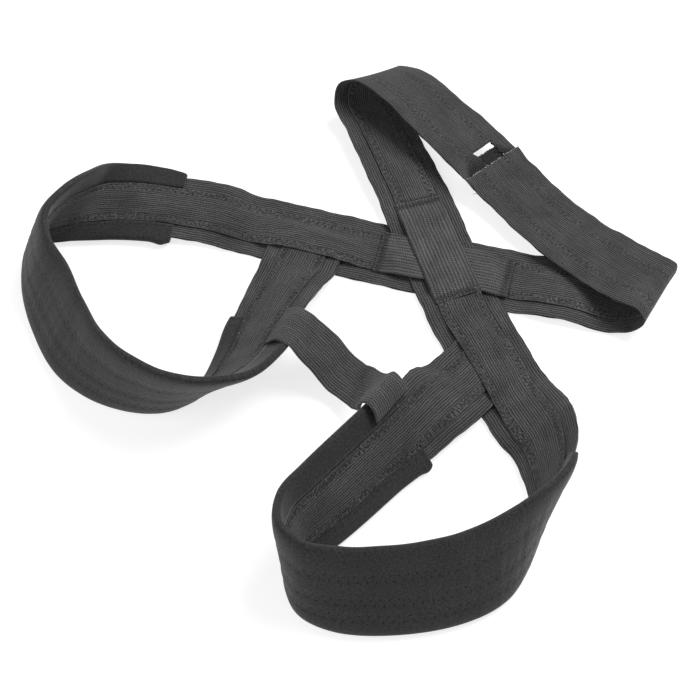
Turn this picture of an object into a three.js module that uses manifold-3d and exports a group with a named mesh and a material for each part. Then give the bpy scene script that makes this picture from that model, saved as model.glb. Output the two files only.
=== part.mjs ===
// Pelvic support belt, laid loosely on a table: one long belt of ribbed elastic that makes a waist loop
// and two padded leg loops. It crosses itself once at the front, where two patches lock the straps together,
// and a short bridge strap joins the ends of the two leg loops.
// Millimetres, +Z up. +X runs along the waist loop, -Y is the side of the padded leg loops.
import * as THREE from "three";
import Module from "manifold-3d";

// Named sizes
const LAID_HALF = 200; // half of the width that the belt is spread out to
const BAND_WIDTH = 50; // wide elastic band, the base of every strap
const BAND_THICKNESS = 1.4;
const INNER_WIDTH = 30; // narrow band sewn along the inner face
const INNER_THICKNESS = 1.2;
const PATCH_WIDTH = 32; // crossing patches
const PATCH_THICKNESS = 1.2;
const BRIDGE_WIDTH = 33;
const BRIDGE_THICKNESS = 1.3;
const PAD_OVERHANG = 4.5; // how far the quilted sleeve stands past the wide band at each edge
const PAD_THICKNESS = 3.4; // at the crest of a padded channel
const QUILT_THICKNESS = 2; // at a row of quilting
const FOLD_THICKNESS = 1; // the sleeve's cloth, folded onto the inner face
const SLOT_LENGTH = 18; // crosswise slot in the waist strap
const SLOT_ASIDE = 5; // how far its middle is from the strap's, towards the raised edge
const SLOT_WIDTH = 15;
const SLOT_GAP = 5; // what stays open between the two inner bands behind the slot
const SEAM_OVERLAP = 8; // how far the two wide bands lie over each other at the joint
const CLEARANCE = 0.3; // between layers of cloth
const RAMP = 9; // length over which a strap climbs onto another
const STEP = 2.5; // how finely a route is followed
const LONGEST_FACET = 18;
const SHARPEST_FACET = 0.2; // radians that the belt bends or twists within one facet
const FINE_STEP = 3.5; // where a strap climbs over another
const SHOULDER = 4; // how far past the strap below it stays at full height

const bandLayer = BAND_THICKNESS + CLEARANCE;
const patchLayer = PATCH_THICKNESS + CLEARANCE;
const padWidth = BAND_WIDTH + 2 * PAD_OVERHANG;

// Offsets of the layers' middles from the wide band's middle, towards the inner face
const innerOffset = (BAND_THICKNESS + INNER_THICKNESS) / 2 + CLEARANCE;
const patchOffset = (BAND_THICKNESS + PATCH_THICKNESS) / 2 + CLEARANCE;
const foldTop = BAND_THICKNESS / 2 + CLEARANCE + FOLD_THICKNESS;

// What a stretch of the belt stands on
const FLOOR = 0;
const ON_BAND = bandLayer;
const ON_PAD = PAD_OVERHANG;

// Routes of the wide band's middle line, a row per stretch or fold.
// x and y are shares of LAID_HALF, under is what the lower edge stands on, rise is its height above that as a
// share of BAND_WIDTH, and acrossX, acrossY and acrossZ point from the table edge to the raised edge.
const leftLegRows = [
  // x, y, under, rise, acrossX, acrossY, acrossZ
  [-0.13, 0.43, ON_BAND, 0.0, 0.9, -0.43, 0.0],
  [-0.16, 0.35, ON_BAND, 0.0, 0.9, -0.38, 0.02],
  [-0.2, 0.23, ON_BAND, 0.06, 0.87, -0.36, 0.24],
  [-0.24, 0.13, ON_BAND, 0.08, 0.84, -0.35, 0.38],
  [-0.28, 0.03, ON_BAND, 0.08, 0.8, -0.34, 0.48],
  [-0.32, -0.08, ON_PAD, 0.01, 0.72, -0.34, 0.6],
  [-0.38, -0.18, ON_PAD, 0.01, 0.55, -0.38, 0.74],
  [-0.46, -0.235, ON_PAD, 0.01, 0.28, -0.34, 0.9],
  [-0.56, -0.25, ON_PAD, 0.01, 0.1, -0.18, 0.98],
  [-0.67, -0.22, ON_PAD, 0.01, 0.1, 0.02, 1.0],
  [-0.78, -0.15, ON_PAD, 0.01, 0.22, 0.18, 0.95],
  [-0.87, -0.04, ON_PAD, 0.01, 0.38, 0.28, 0.88],
  [-0.94, 0.1, ON_PAD, 0.01, 0.45, 0.22, 0.86],
  [-1.0, 0.24, ON_PAD, 0.01, 0.38, 0.06, 0.92],
  [-1.008, 0.355, ON_PAD, 0.01, 0.36, -0.06, 0.93],
  [-0.975, 0.44, ON_PAD, 0.01, 0.5, 0.1, 0.86],
  [-0.928, 0.492, ON_PAD, 0.0, 0.58, 0.48, 0.66],
  [-0.87, 0.54, ON_PAD, 0.0, 0.46, 0.8, 0.38],
  [-0.78, 0.565, ON_PAD, 0.0, 0.3, 0.93, 0.18],
  [-0.6, 0.56, ON_PAD, 0.0, 0.15, 0.98, 0.04],
];
const waistRows = [
  // x, y, under, rise, acrossX, acrossY, acrossZ
  [-0.45, 0.535, FLOOR, 0.05, 0.24, 0.96, 0.06],
  [-0.32, 0.5, FLOOR, 0.0, 0.27, 0.96, 0.0],
  [-0.14, 0.45, FLOOR, 0.0, 0.27, 0.96, 0.0],
  [0.1, 0.38, FLOOR, 0.0, 0.26, 0.97, 0.0],
  [0.56, 0.26, FLOOR, 0.0, 0.25, 0.97, 0.0],
  [0.63, 0.242, FLOOR, 0.02, 0.25, 0.96, -0.05],
  [0.71, 0.22, FLOOR, 0.03, 0.26, 0.96, -0.06],
  [0.84, 0.185, FLOOR, 0.02, 0.28, 0.96, 0.0],
  [0.935, 0.16, FLOOR, 0.07, 0.36, 0.93, -0.08],
  [0.985, 0.15, FLOOR, 0.24, 0.5, 0.84, -0.16],
  [0.975, 0.17, FLOOR, 0.38, 0.62, 0.78, -0.1],
  [0.92, 0.22, FLOOR, 0.36, 0.71, 0.7, 0.0],
  [0.84, 0.31, FLOOR, 0.22, 0.73, 0.69, 0.0],
  [0.74, 0.415, ON_BAND, 0.08, 0.74, 0.66, -0.05],
  [0.66, 0.5, ON_BAND, 0.06, 0.74, 0.67, -0.1],
  [0.53, 0.66, FLOOR, 0.14, 0.73, 0.68, -0.1],
  [0.42, 0.78, FLOOR, 0.26, 0.72, 0.69, -0.12],
  [0.3, 0.9, FLOOR, 0.36, 0.68, 0.71, -0.18],
  [0.19, 1.01, FLOOR, 0.42, 0.64, 0.72, -0.26],
  [0.1, 1.075, FLOOR, 0.32, 0.62, 0.66, -0.38],
  [0.055, 1.08, FLOOR, 0.14, 0.74, 0.5, -0.42],
  [0.055, 1.03, FLOOR, 0.03, 0.88, 0.36, -0.3],
  [0.1, 0.92, FLOOR, 0.02, 0.92, 0.32, -0.22],
  [0.17, 0.73, FLOOR, 0.05, 0.93, 0.33, -0.16],
  [0.235, 0.555, ON_BAND, 0.01, 0.94, 0.33, -0.06],
  [0.265, 0.46, ON_BAND, 0.0, 0.94, 0.32, 0.0],
  [0.345, 0.21, ON_BAND, 0.0, 0.94, 0.32, 0.0],
  [0.385, 0.1, ON_BAND, 0.0, 0.94, 0.33, 0.0],
  [0.435, -0.01, FLOOR, 0.01, 0.94, 0.34, 0.0],
];
const rightLegRows = [
  // x, y, under, rise, acrossX, acrossY, acrossZ
  [0.482, -0.12, FLOOR, 0.01, 0.93, 0.38, 0.0],
  [0.532, -0.24, FLOOR, 0.02, 0.87, 0.4, 0.22],
  [0.582, -0.38, FLOOR, 0.03, 0.64, 0.32, 0.66],
  [0.592, -0.51, ON_PAD, 0.01, 0.5, 0.28, 0.82],
  [0.567, -0.63, ON_PAD, 0.01, 0.26, 0.24, 0.93],
  [0.502, -0.73, ON_PAD, 0.01, 0.02, 0.3, 0.95],
  [0.43, -0.8, ON_PAD, 0.01, -0.14, 0.38, 0.91],
  [0.34, -0.85, ON_PAD, 0.01, -0.22, 0.42, 0.88],
  [0.22, -0.885, ON_PAD, 0.01, -0.1, 0.48, 0.87],
  [0.09, -0.9, ON_PAD, 0.01, 0.04, 0.48, 0.88],
  [-0.04, -0.895, ON_PAD, 0.01, 0.12, 0.4, 0.91],
  [-0.14, -0.86, ON_PAD, 0.01, 0.04, 0.26, 0.96],
  [-0.18, -0.79, ON_PAD, 0.01, -0.1, 0.2, 0.97],
  [-0.155, -0.71, ON_PAD, 0.01, -0.26, 0.28, 0.92],
  [-0.08, -0.63, ON_PAD, 0.01, -0.36, 0.38, 0.85],
  [0.0, -0.545, ON_PAD, 0.01, -0.39, 0.42, 0.82],
  [0.085, -0.455, ON_PAD, 0.01, -0.4, 0.44, 0.8],
  [0.165, -0.37, ON_PAD, 0.01, -0.46, 0.5, 0.73],
  [0.23, -0.29, ON_PAD, 0.03, -0.58, 0.58, 0.57],
  [0.29, -0.21, ON_BAND, 0.06, -0.74, 0.6, 0.3],
  [0.36, -0.13, ON_BAND, 0.03, -0.82, 0.56, -0.02],
  [0.47, -0.01, ON_BAND, 0.01, -0.78, 0.62, 0.02],
];

// The bridge strap between its two sewn ends. Columns x and y are shares of LAID_HALF, and height is a share
// of BRIDGE_WIDTH.
const bridgeRows = [
  // x, y, height, acrossX, acrossY, acrossZ
  [-0.122, -0.05, 0.78, -0.42, -0.9, 0.12],
  [-0.072, -0.075, 0.47, -0.42, -0.9, 0.03],
  [-0.03, -0.112, 0.27, -0.37, -0.93, 0.0],
  [0.018, -0.166, 0.36, -0.3, -0.95, 0.0],
  [0.043, -0.22, 0.74, -0.42, -0.9, 0.0],
];

// Smooth curve through rows of numbers, sampled about every step along its first three columns. The first two
// columns turn smoothly, and the others never overshoot a row, so a stretch that lies flat stays flat.
function smoothRows(rows, step) {
  const last = rows.length - 1;
  const at = [0];
  for (let i = 1; i <= last; i++) {
    const [a, b] = [rows[i - 1], rows[i]];
    at.push(at[i - 1] + Math.hypot(b[0] - a[0], b[1] - a[1], b[2] - a[2]));
  }
  const rate = (i, k) => (rows[i + 1][k] - rows[i][k]) / (at[i + 1] - at[i]);
  const slope = (i, k) => {
    if (i === 0) return rate(0, k);
    if (i === last) return rate(last - 1, k);
    const [before, after] = [rate(i - 1, k), rate(i, k)];
    const [lengthBefore, lengthAfter] = [at[i] - at[i - 1], at[i + 1] - at[i]];
    if (k < 2) return (before * lengthAfter + after * lengthBefore) / (lengthBefore + lengthAfter);
    return before * after <= 0 ? 0 : (2 * before * after) / (before + after);
  };
  const count = Math.ceil(at[last] / step);
  return Array.from({ length: count + 1 }, (_, n) => {
    const s = (at[last] * n) / count;
    let i = 0;
    while (i < last - 1 && at[i + 1] <= s) i++;
    const h = at[i + 1] - at[i];
    const u = (s - at[i]) / h;
    return rows[i].map(
      (value, k) =>
        (2 * u ** 3 - 3 * u ** 2 + 1) * value +
        (u ** 3 - 2 * u ** 2 + u) * h * slope(i, k) +
        (3 * u ** 2 - 2 * u ** 3) * rows[i + 1][k] +
        (u ** 3 - u ** 2) * h * slope(i + 1, k),
    );
  });
}

// Stations of a strap: its middle point, the direction across it, the direction ahead, its inner face's
// normal and the distance along. They lie closer together where the strap bends or twists.
function stationsOf(rows) {
  const samples = smoothRows(rows, STEP);
  const centres = samples.map(([x, y, z]) => new THREE.Vector3(x, y, z));
  let along = 0;
  const all = samples.map(([, , , acrossX, acrossY, acrossZ], i) => {
    const before = centres[Math.max(i - 1, 0)];
    const after = centres[Math.min(i + 1, centres.length - 1)];
    const across = new THREE.Vector3(acrossX, acrossY, acrossZ).normalize();
    const ahead = after.clone().sub(before).normalize();
    const inward = ahead.clone().cross(across).normalize();
    if (i) along += centres[i].distanceTo(centres[i - 1]);
    return { centre: centres[i], across, inward, ahead, along };
  });
  const kept = [all[0]];
  for (let i = 1; i < all.length; i++) {
    const [from, to] = [kept.at(-1), all[Math.min(i + 1, all.length - 1)]];
    const turn = Math.max(from.ahead.angleTo(to.ahead), from.across.angleTo(to.across));
    const facetFull = turn > SHARPEST_FACET || to.along - from.along > LONGEST_FACET;
    if (facetFull || i === all.length - 1) kept.push(all[i]);
  }
  return kept;
}

// A row of a belt table as the wide band's middle point and direction across.
function bandRow([x, y, under, rise, acrossX, acrossY, acrossZ]) {
  const length = Math.hypot(acrossX, acrossY, acrossZ);
  const lean = Math.abs(acrossZ) / length;
  const flat = Math.sqrt(1 - lean * lean);
  const height = under + rise * BAND_WIDTH + (BAND_WIDTH / 2) * lean + (BAND_THICKNESS / 2) * flat;
  return [x * LAID_HALF, y * LAID_HALF, height, acrossX / length, acrossY / length, acrossZ / length];
}

const beltStations = stationsOf([...leftLegRows, ...waistRows, ...rightLegRows].map(bandRow));
const beltLength = beltStations.at(-1).along;

// Places along the belt, as shares of its length, from the end that is tucked under the waist strap by the
// left leg.
const place = (from, to) => ({ from: from * beltLength, to: to * beltLength });
const leftPad = place(0.0451, 0.2475);
const rightPad = place(0.7767, 0.945);
const leftPatch = place(0.324, 0.3735);
const rightPatch = place(0.6414, 0.6876);
const jointAt = 0.5154 * beltLength;
const leftBridgeAt = 0.0497 * beltLength; // middle of the bridge strap's sewn ends
const rightBridgeAt = 0.945 * beltLength;
const rightClimb = place(0.7178, 0.7426); // where the right strap twists as it passes under its own end

// The station point at v across the strap and w towards its inner face.
function pointAt({ centre, across, inward }, v, w) {
  return centre.clone().addScaledVector(across, v).addScaledVector(inward, w);
}

// Where a point lies over a strap, in plan, because straps cross where they lie flat: how near it is, from 1
// over the strap down a smooth ramp to 0 beside it and past its ends, and the height of the strap's upper
// face there.
function coverAt(point, cover) {
  let nearest = { outside: Infinity, top: 0 };
  for (let i = 1; i < cover.stations.length; i++) {
    const [a, b] = [cover.stations[i - 1], cover.stations[i]];
    const [dx, dy] = [b.centre.x - a.centre.x, b.centre.y - a.centre.y];
    const [px, py] = [point.x - a.centre.x, point.y - a.centre.y];
    const length = Math.hypot(dx, dy);
    const share = (px * dx + py * dy) / (length * length);
    const side = (dx * py - dy * px) / length;
    const beyond = Math.max(-share, share - 1, 0) * length;
    const outside = Math.hypot(beyond, Math.max(Math.abs(side) - cover.width / 2, 0));
    if (outside >= nearest.outside) continue;
    const held = Math.min(Math.max(share, 0), 1);
    const across = a.across.clone().lerp(b.across, held);
    const level = Math.hypot(across.x, across.y);
    const v = Math.min(Math.max(side / level, -cover.width / 2), cover.width / 2);
    const middle = a.centre.z + (b.centre.z - a.centre.z) * held + v * across.z;
    nearest = { outside, top: middle + (cover.offset + cover.thickness / 2) / level };
  }
  const near = Math.min(Math.max(1 - (nearest.outside - SHOULDER) / RAMP, 0), 1);
  return { near: near * near * (3 - 2 * near), top: nearest.top };
}

// Closed solid swept along stations. section(station) gives a loop of [v, w] points, anticlockwise as seen
// looking back along the strap, and lift(station, v) a height that is added to each point.
function sweep(stations, section, lift = () => 0) {
  const rings = stations.map((station, i) =>
    section(station, i, stations).map(([v, w]) => {
      const point = pointAt(station, v, w);
      point.z += lift(station, v);
      return point;
    }),
  );
  const size = rings[0].length;
  const positions = rings.flat().flatMap(({ x, y, z }) => [x, y, z]);
  const faces = [];
  for (let i = 0; i + 1 < rings.length; i++) {
    const loop = section(stations[i], i, stations);
    for (let k = 0; k < size; k++) {
      const after = (k + 1) % size;
      const [a, b] = [i * size + k, i * size + after];
      // Each facet is split the same way on both faces of the cloth, so layers stay parallel where it twists.
      if (loop[after][0] >= loop[k][0]) faces.push(a, b, b + size, a, b + size, a + size);
      else faces.push(a, b, a + size, b, b + size, a + size);
    }
  }
  const capped = (index, back) => {
    const outline = section(stations[index], index, stations).map(([v, w]) => new THREE.Vector2(v, w));
    for (const [a, b, c] of THREE.ShapeUtils.triangulateShape(outline, [])) {
      const base = index * size;
      faces.push(...(back ? [base + a, base + c, base + b] : [base + a, base + b, base + c]));
    }
  };
  capped(0, true);
  capped(rings.length - 1, false);
  const geometry = new THREE.BufferGeometry();
  geometry.setAttribute("position", new THREE.Float32BufferAttribute(positions, 3));
  geometry.setIndex(faces);
  return geometry;
}

// Where the strap's sections have points: at the edges of the inner band and on the middle line.
const sectionLines = [-INNER_WIDTH / 2, 0, INNER_WIDTH / 2];

// Section of a flat band whose middle lies at offset towards the inner face.
function flatSection(width, thickness, offset, lines = sectionLines) {
  const half = width / 2;
  const across = [-half, ...lines.filter((v) => Math.abs(v) < half), half];
  const low = across.map((v) => [v, offset - thickness / 2]);
  const high = across.map((v) => [v, offset + thickness / 2]);
  return [...low, ...high.reverse()];
}

// Section of the sleeve: a padded wall with rows of quilting outside the band, puffed edges, and the cloth
// folded in over both margins of the inner face.
const QUILT_ROWS = [0.77, 0.58, 0.3]; // from the raised edge, as shares of the sleeve's width
function padSection(station, index, stations) {
  const half = padWidth / 2;
  const tip = INNER_WIDTH / 2 + 2 * CLEARANCE;
  const edge = BAND_WIDTH / 2 + CLEARANCE;
  const wall = -BAND_THICKNESS / 2 - CLEARANCE;
  const foldUnder = foldTop - FOLD_THICKNESS;
  const hem = Math.min(index, stations.length - 1 - index, 2) / 2;
  const crest = wall - QUILT_THICKNESS - (PAD_THICKNESS - QUILT_THICKNESS) * hem;
  const stops = [-half, ...QUILT_ROWS.map((share) => half - share * padWidth), half];
  const outside = [[-half, 0]];
  for (let i = 1; i < stops.length; i++) {
    outside.push([(stops[i - 1] + stops[i]) / 2, crest]);
    outside.push(i < stops.length - 1 ? [stops[i], wall - QUILT_THICKNESS] : [half, 0]);
  }
  return [
    ...outside,
    [half - FOLD_THICKNESS, foldTop],
    [tip, foldTop],
    [tip, foldUnder],
    [edge, foldUnder],
    [edge, wall],
    ...sectionLines.toReversed().map((v) => [v, wall]),
    [-edge, wall],
    [-edge, foldUnder],
    [-tip, foldUnder],
    [-tip, foldTop],
    [FOLD_THICKNESS - half, foldTop],
  ];
}

// A station at an exact distance along the belt, so that a piece can end between two facets' ends.
function stationAt(along) {
  const next = Math.max(beltStations.findIndex((station) => station.along >= along), 1);
  const [a, b] = [beltStations[next - 1], beltStations[next]];
  const share = (along - a.along) / (b.along - a.along);
  const mix = (key) => a[key].clone().lerp(b[key], share);
  return { centre: mix("centre"), across: mix("across"), inward: mix("inward"), ahead: mix("ahead"), along };
}

// Stations of one piece of the belt, with more of them where it climbs over another piece. All layers have
// stations in the same places wherever the belt twists.
function stretch(from, to, fineFrom = to, fineTo = to) {
  const ends = [leftPad.from, leftPad.to, rightPad.from, rightPad.to];
  const fine = Array.from({ length: Math.floor(beltLength / FINE_STEP) }, (_, i) => i * FINE_STEP);
  const bends = beltStations.map(({ along }) => along);
  const stops = [
    ...ends,
    ...bends.filter((along) => ends.every((end) => Math.abs(end - along) > 1)),
    ...fine.filter((along) => along >= fineFrom && along <= fineTo),
  ];
  const inside = stops.filter((along) => along > from + 1 && along < to - 1).sort((a, b) => a - b);
  const apart = inside.filter((along, i) => i === 0 || along - inside[i - 1] > CLEARANCE);
  return [from, ...apart, to].map(stationAt);
}

// What other straps climb over
const wideCover = (from, to) => ({
  stations: stretch(from, to),
  width: BAND_WIDTH,
  offset: 0,
  thickness: BAND_THICKNESS,
});
const innerCover = (from, to) => ({
  stations: stretch(from, to),
  width: INNER_WIDTH,
  offset: innerOffset,
  thickness: INNER_THICKNESS,
});
const coversOf = (from, to) => [wideCover(from, to), innerCover(from, to)];
const crossedBand = [wideCover(rightPatch.from, rightPatch.to + 2 * RAMP)];
const crossedPatch = {
  ...crossedBand[0],
  stations: stretch(leftPatch.from, leftPatch.to),
  width: PATCH_WIDTH,
};

// The lift that keeps cloth of some thickness, at some offset on its station, clear above the covers.
const clearOf = (covers, offset, thickness) => (station, v) => {
  const point = pointAt(station, v, offset);
  const lifts = covers.map((cover) => {
    const { near, top } = coverAt(point, cover);
    return near * Math.max(top + CLEARANCE + thickness / 2 - point.z, 0);
  });
  return Math.max(...lifts);
};

// Wide bands. The left one ends at the joint, on the outside of the right one, which has the crosswise slot.
const climbFrom = jointAt - SEAM_OVERLAP - RAMP;
const leftBand = sweep(stretch(0, jointAt, climbFrom - RAMP, jointAt), ({ along }) => {
  const climb = Math.min(Math.max((along - climbFrom + RAMP / 2) / RAMP, 0), 1);
  return flatSection(BAND_WIDTH, BAND_THICKNESS, -bandLayer * climb);
});
const rightBandStations = stretch(jointAt - SEAM_OVERLAP, beltLength, rightClimb.from, rightClimb.to);
const rightBandWhole = sweep(rightBandStations, () => flatSection(BAND_WIDTH, BAND_THICKNESS, 0));

// Inner bands and patches, all on the inner face
const innerSection = () => flatSection(INNER_WIDTH, INNER_THICKNESS, innerOffset);
const patchLines = [-INNER_WIDTH / 2, -INNER_WIDTH / 4, 0, INNER_WIDTH / 4, INNER_WIDTH / 2];
const patchSection = () => flatSection(PATCH_WIDTH, PATCH_THICKNESS, patchOffset, patchLines);
const overLeftReturn = clearOf(coversOf(0, leftPad.from), innerOffset, INNER_THICKNESS);
const overRightReturn = clearOf(coversOf(rightPad.to, beltLength), innerOffset, INNER_THICKNESS);
const overCrossedBand = clearOf(crossedBand, patchOffset, PATCH_THICKNESS);
const overCrossedPatch = (station, v) =>
  patchLayer * coverAt(pointAt(station, v, patchOffset), crossedPatch).near;
const slotFrom = jointAt + CLEARANCE;
const slotTo = slotFrom + SLOT_WIDTH;

// The slot: a box through the wide band, cut out of it.
const wasm = await Module();
wasm.setup();
function solidOf(geometry) {
  const mesh = new wasm.Mesh({
    numProp: 3,
    vertProperties: new Float32Array(geometry.getAttribute("position").array),
    triVerts: new Uint32Array(geometry.index.array),
  });
  return new wasm.Manifold(mesh);
}
function geometryOf(solid) {
  const mesh = solid.getMesh();
  const geometry = new THREE.BufferGeometry();
  geometry.setAttribute("position", new THREE.BufferAttribute(mesh.vertProperties, 3));
  geometry.setIndex(new THREE.BufferAttribute(mesh.triVerts, 1));
  return geometry;
}
const slotSection = flatSection(SLOT_LENGTH, 3 * BAND_THICKNESS, 0).map(([v, w]) => [v + SLOT_ASIDE, w]);
const slotCutter = sweep(stretch(slotFrom, slotTo), () => slotSection);
const rightBand = geometryOf(solidOf(rightBandWhole).subtract(solidOf(slotCutter)));

// Bridge strap: sewn by its ends to the inner faces of both leg loops, beside the inner band, and rolled over
// their raised edges.
const sewnHeight = foldTop + CLEARANCE + BRIDGE_THICKNESS / 2;
const clearEdge = padWidth / 2 + CLEARANCE + BRIDGE_THICKNESS / 2;
const rollRise = 2; // how far the roll stands off the raised edge
const leftSewnAt = INNER_WIDTH / 2 + 2 * CLEARANCE;
const rightSewnAt = padWidth / 2 - 5 * rollRise;
const rightSewnHeight = sewnHeight + 0.75 * rollRise; // more, because the loop twists there
function bridgeSeat(along, v, w, turn) {
  const before = pointAt(stationAt(along - BRIDGE_WIDTH / 2), v, w);
  const after = pointAt(stationAt(along + BRIDGE_WIDTH / 2), v, w);
  const across = after.clone().sub(before).normalize().multiplyScalar(turn);
  return [...before.add(after).divideScalar(2).toArray(), ...across.toArray()];
}
const bridgeRow = ([x, y, height, ...across]) => [
  x * LAID_HALF,
  y * LAID_HALF,
  height * BRIDGE_WIDTH,
  ...across,
];
const bridgeStations = stationsOf([
  bridgeSeat(leftBridgeAt, leftSewnAt, sewnHeight, 1),
  bridgeSeat(leftBridgeAt, padWidth / 2 - rollRise, sewnHeight + rollRise / 2, 1),
  bridgeSeat(leftBridgeAt, clearEdge + 0.75 * rollRise, 0, 1),
  ...bridgeRows.map(bridgeRow),
  bridgeSeat(rightBridgeAt, clearEdge + rollRise, -2 * rollRise, -1),
  bridgeSeat(rightBridgeAt, clearEdge + rollRise, rightSewnHeight, -1),
  bridgeSeat(rightBridgeAt, padWidth / 2 - 2 * rollRise, rightSewnHeight + rollRise, -1),
  bridgeSeat(rightBridgeAt, rightSewnAt, rightSewnHeight, -1),
]);

// Materials, one for each mesh
const elastic = () => new THREE.MeshStandardMaterial({ color: 0x4c4c50, roughness: 0.9, metalness: 0 });
const ribbed = () => new THREE.MeshStandardMaterial({ color: 0x56565a, roughness: 0.9, metalness: 0 });
const sleeve = () => new THREE.MeshStandardMaterial({ color: 0x38383b, roughness: 0.8, metalness: 0 });

// The inner bands of the leg loops lie over the belt's own ends where they meet them again, past the sleeves.
const leftLegEnd = leftPatch.from - CLEARANCE;
const rightLegStart = rightPatch.to + CLEARANCE;
const leftLegInner = sweep(stretch(0, leftLegEnd, leftPad.to, leftLegEnd), innerSection, (station, v) =>
  station.along > leftPad.to ? overLeftReturn(station, v) : 0,
);
const rightLegInner = sweep(
  stretch(rightLegStart, beltLength, rightLegStart, rightClimb.to),
  innerSection,
  (station, v) => (station.along < rightPad.from ? overRightReturn(station, v) : 0),
);
const patch = ({ from, to }, lift) => sweep(stretch(from, to, from, to), patchSection, lift);
const leftWaist = stretch(leftPatch.to + CLEARANCE, slotTo - SLOT_GAP);
const rightWaist = stretch(slotTo, rightPatch.from - CLEARANCE);

const pieces = [
  ["left_wide_band", leftBand, elastic],
  ["right_wide_band", rightBand, elastic],
  ["left_leg_inner_band", leftLegInner, ribbed],
  ["left_crossing_patch", patch(leftPatch, overCrossedBand), ribbed],
  ["left_waist_inner_band", sweep(leftWaist, innerSection), ribbed],
  ["right_waist_inner_band", sweep(rightWaist, innerSection), ribbed],
  ["right_crossing_patch", patch(rightPatch, overCrossedPatch), ribbed],
  ["right_leg_inner_band", rightLegInner, ribbed],
  ["left_leg_pad", sweep(stretch(leftPad.from, leftPad.to), padSection), sleeve],
  ["right_leg_pad", sweep(stretch(rightPad.from, rightPad.to), padSection), sleeve],
  ["bridge_strap", sweep(bridgeStations, () => flatSection(BRIDGE_WIDTH, BRIDGE_THICKNESS, 0)), ribbed],
];

const belt = new THREE.Group();
for (const [name, geometry, material] of pieces) {
  const mesh = new THREE.Mesh(geometry, material());
  mesh.name = name;
  belt.add(mesh);
}
// The origin is the middle of the belt's footprint, on the table.
const box = new THREE.Box3().setFromObject(belt, true);
const middle = box.getCenter(new THREE.Vector3());
belt.position.set(-middle.x, -middle.y, -box.min.z);

export default belt;
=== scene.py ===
# Pelvic support belt, laid loosely on a pale floor. The sections follow the belt as it is sewn together.
import math

import bpy
import numpy as np
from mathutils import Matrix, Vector


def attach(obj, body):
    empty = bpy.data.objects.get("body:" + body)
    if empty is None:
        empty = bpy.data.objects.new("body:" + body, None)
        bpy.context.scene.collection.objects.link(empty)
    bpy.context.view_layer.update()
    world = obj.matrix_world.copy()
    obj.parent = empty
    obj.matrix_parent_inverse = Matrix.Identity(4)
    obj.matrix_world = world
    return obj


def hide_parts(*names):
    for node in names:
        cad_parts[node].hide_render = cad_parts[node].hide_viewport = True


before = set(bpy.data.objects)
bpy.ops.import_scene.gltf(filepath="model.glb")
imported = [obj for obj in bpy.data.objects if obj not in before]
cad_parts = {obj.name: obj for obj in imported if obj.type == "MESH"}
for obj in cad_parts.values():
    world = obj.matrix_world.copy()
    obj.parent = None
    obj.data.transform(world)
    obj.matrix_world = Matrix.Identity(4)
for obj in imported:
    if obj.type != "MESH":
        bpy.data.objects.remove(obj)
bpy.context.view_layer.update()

# Wide bands: the base of the whole belt, a 50 mm ribbed elastic in two lengths, woven finer on its outer
# face. One length makes the left leg's loop and the lower waist strap, the other the upper waist strap and
# the right leg's loop. All lengths below are millimetres, and shares of LAID_HALF where a table says so.
LAID_HALF = 200.0
BAND_WIDTH, BAND_THICKNESS = 50.0, 1.4
SLEEVE_OVERHANG = 4.5
LAYER_GAP = 0.3
MIDDLE_X, MIDDLE_Y = 1.648, -18.822  # the middle of the laid belt's footprint is the origin
METRES = 0.001
WEAVE_STEP, COARSE_STEP = 2.0, 8.0
EDGE_ROUNDING = 0.6

FLOOR, ON_BAND, ON_SLEEVE = 0.0, BAND_THICKNESS + LAYER_GAP, SLEEVE_OVERHANG
# Columns: x, y (shares of LAID_HALF), what the lower edge stands on, its rise above that (share of
# BAND_WIDTH), and the direction across, from the table edge to the raised edge.
LEFT_LEG_ROWS = [
    (-0.13, 0.43, ON_BAND, 0.0, 0.9, -0.43, 0.0),
    (-0.16, 0.35, ON_BAND, 0.0, 0.9, -0.38, 0.02),
    (-0.2, 0.23, ON_BAND, 0.06, 0.87, -0.36, 0.24),
    (-0.24, 0.13, ON_BAND, 0.08, 0.84, -0.35, 0.38),
    (-0.28, 0.03, ON_BAND, 0.08, 0.8, -0.34, 0.48),
    (-0.32, -0.08, ON_SLEEVE, 0.01, 0.72, -0.34, 0.6),
    (-0.38, -0.18, ON_SLEEVE, 0.01, 0.55, -0.38, 0.74),
    (-0.46, -0.235, ON_SLEEVE, 0.01, 0.28, -0.34, 0.9),
    (-0.56, -0.25, ON_SLEEVE, 0.01, 0.1, -0.18, 0.98),
    (-0.67, -0.22, ON_SLEEVE, 0.01, 0.1, 0.02, 1.0),
    (-0.78, -0.15, ON_SLEEVE, 0.01, 0.22, 0.18, 0.95),
    (-0.87, -0.04, ON_SLEEVE, 0.01, 0.38, 0.28, 0.88),
    (-0.94, 0.1, ON_SLEEVE, 0.01, 0.45, 0.22, 0.86),
    (-1.0, 0.24, ON_SLEEVE, 0.01, 0.38, 0.06, 0.92),
    (-1.008, 0.355, ON_SLEEVE, 0.01, 0.36, -0.06, 0.93),
    (-0.975, 0.44, ON_SLEEVE, 0.01, 0.5, 0.1, 0.86),
    (-0.928, 0.492, ON_SLEEVE, 0.0, 0.58, 0.48, 0.66),
    (-0.87, 0.54, ON_SLEEVE, 0.0, 0.46, 0.8, 0.38),
    (-0.78, 0.565, ON_SLEEVE, 0.0, 0.3, 0.93, 0.18),
    (-0.6, 0.56, ON_SLEEVE, 0.0, 0.15, 0.98, 0.04),
]
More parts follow.
